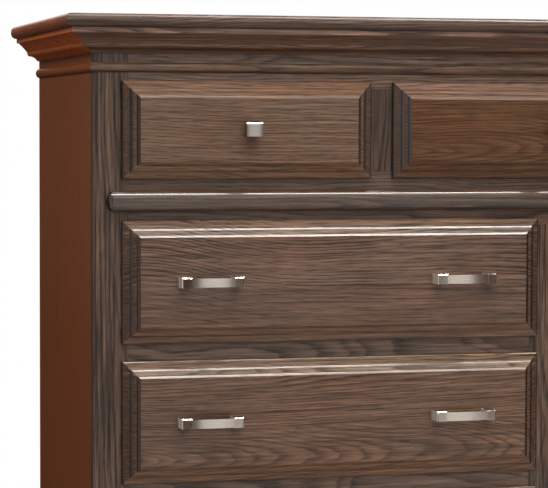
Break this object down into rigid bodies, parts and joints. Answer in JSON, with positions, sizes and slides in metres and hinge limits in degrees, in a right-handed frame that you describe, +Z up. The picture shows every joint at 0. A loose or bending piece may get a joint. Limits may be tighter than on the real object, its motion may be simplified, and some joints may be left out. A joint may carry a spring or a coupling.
{
  "type": "dresser",
  "caption": "Traditional stained oak dresser with moulded crown, raised drawer fronts that slide out, nickel knobs and arched pulls, and bracket feet.",
  "frame": {"origin": "floor level, under the middle of the bounding box", "axes": "+X to the viewer's right along the front, +Y to the back, +Z up; drawers open along -Y"},
  "size_m": [1.45, 0.527, 0.97],
  "materials": {
    "stained_oak": "grey-brown stained oak, open grain, satin lacquer",
    "stained_oak_side": "reddish-brown stained oak, satin lacquer",
    "drawer_maple": "clear-finished maple",
    "back_plywood": "stained plywood",
    "brushed_nickel": "brushed nickel plate"
  },
  "bodies": {
    "case": {"top": "stained_oak", "crown_front": "stained_oak", "crown_left": "stained_oak_side", "crown_right": "stained_oak_side", "bead_front": "stained_oak", "bead_left": "stained_oak_side", "bead_right": "stained_oak_side", "waist_moulding": "stained_oak", "left_stile": "stained_oak", "right_stile": "stained_oak", "center_stile": "stained_oak", "top_rail": "stained_oak", "waist_rail": "stained_oak", "bottom_rail": "stained_oak", "mullion_left": "stained_oak", "mullion_right": "stained_oak", "left_side": "stained_oak_side", "right_side": "stained_oak_side", "base_front": "stained_oak", "base_left": "stained_oak_side", "base_right": "stained_oak_side", "back_panel": "back_plywood", "waist_dust_panel": "drawer_maple", "upper_divider": "stained_oak", "middle_divider": "stained_oak", "case_bottom": "drawer_maple"},
    "top_left_drawer": {"top_left_front": "stained_oak", "top_left_box": "drawer_maple", "top_left_knob": "brushed_nickel"},
    "top_middle_drawer": {"top_middle_front": "stained_oak", "top_middle_box": "drawer_maple", "top_middle_knob": "brushed_nickel"},
    "top_right_drawer": {"top_right_front": "stained_oak", "top_right_box": "drawer_maple", "top_right_knob": "brushed_nickel"},
    "upper_left_drawer": {"upper_left_front": "stained_oak", "upper_left_box": "drawer_maple", "upper_left_outer_pull": "brushed_nickel", "upper_left_inner_pull": "brushed_nickel"},
    "upper_right_drawer": {"upper_right_front": "stained_oak", "upper_right_box": "drawer_maple", "upper_right_outer_pull": "brushed_nickel", "upper_right_inner_pull": "brushed_nickel"},
    "middle_left_drawer": {"middle_left_front": "stained_oak", "middle_left_box": "drawer_maple", "middle_left_outer_pull": "brushed_nickel", "middle_left_inner_pull": "brushed_nickel"},
    "middle_right_drawer": {"middle_right_front": "stained_oak", "middle_right_box": "drawer_maple", "middle_right_outer_pull": "brushed_nickel", "middle_right_inner_pull": "brushed_nickel"},
    "lower_left_drawer": {"lower_left_front": "stained_oak", "lower_left_box": "drawer_maple", "lower_left_outer_pull": "brushed_nickel", "lower_left_inner_pull": "brushed_nickel"},
    "lower_right_drawer": {"lower_right_front": "stained_oak", "lower_right_box": "drawer_maple", "lower_right_outer_pull": "brushed_nickel", "lower_right_inner_pull": "brushed_nickel"}
  },
  "joints": [
    {"name": "top_left_slide", "type": "slide", "parent": "case", "child": "top_left_drawer", "axis": [0, -1, 0], "range_m": [0, 0.3]},
    {"name": "top_middle_slide", "type": "slide", "parent": "case", "child": "top_middle_drawer", "axis": [0, -1, 0], "range_m": [0, 0.3]},
    {"name": "top_right_slide", "type": "slide", "parent": "case", "child": "top_right_drawer", "axis": [0, -1, 0], "range_m": [0, 0.3]},
    {"name": "upper_left_slide", "type": "slide", "parent": "case", "child": "upper_left_drawer", "axis": [0, -1, 0], "range_m": [0, 0.3]},
    {"name": "upper_right_slide", "type": "slide", "parent": "case", "child": "upper_right_drawer", "axis": [0, -1, 0], "range_m": [0, 0.3]},
    {"name": "middle_left_slide", "type": "slide", "parent": "case", "child": "middle_left_drawer", "axis": [0, -1, 0], "range_m": [0, 0.3]},
    {"name": "middle_right_slide", "type": "slide", "parent": "case", "child": "middle_right_drawer", "axis": [0, -1, 0], "range_m": [0, 0.3]},
    {"name": "lower_left_slide", "type": "slide", "parent": "case", "child": "lower_left_drawer", "axis": [0, -1, 0], "range_m": [0, 0.3]},
    {"name": "lower_right_slide", "type": "slide", "parent": "case", "child": "lower_right_drawer", "axis": [0, -1, 0], "range_m": [0, 0.3]}
  ]
}
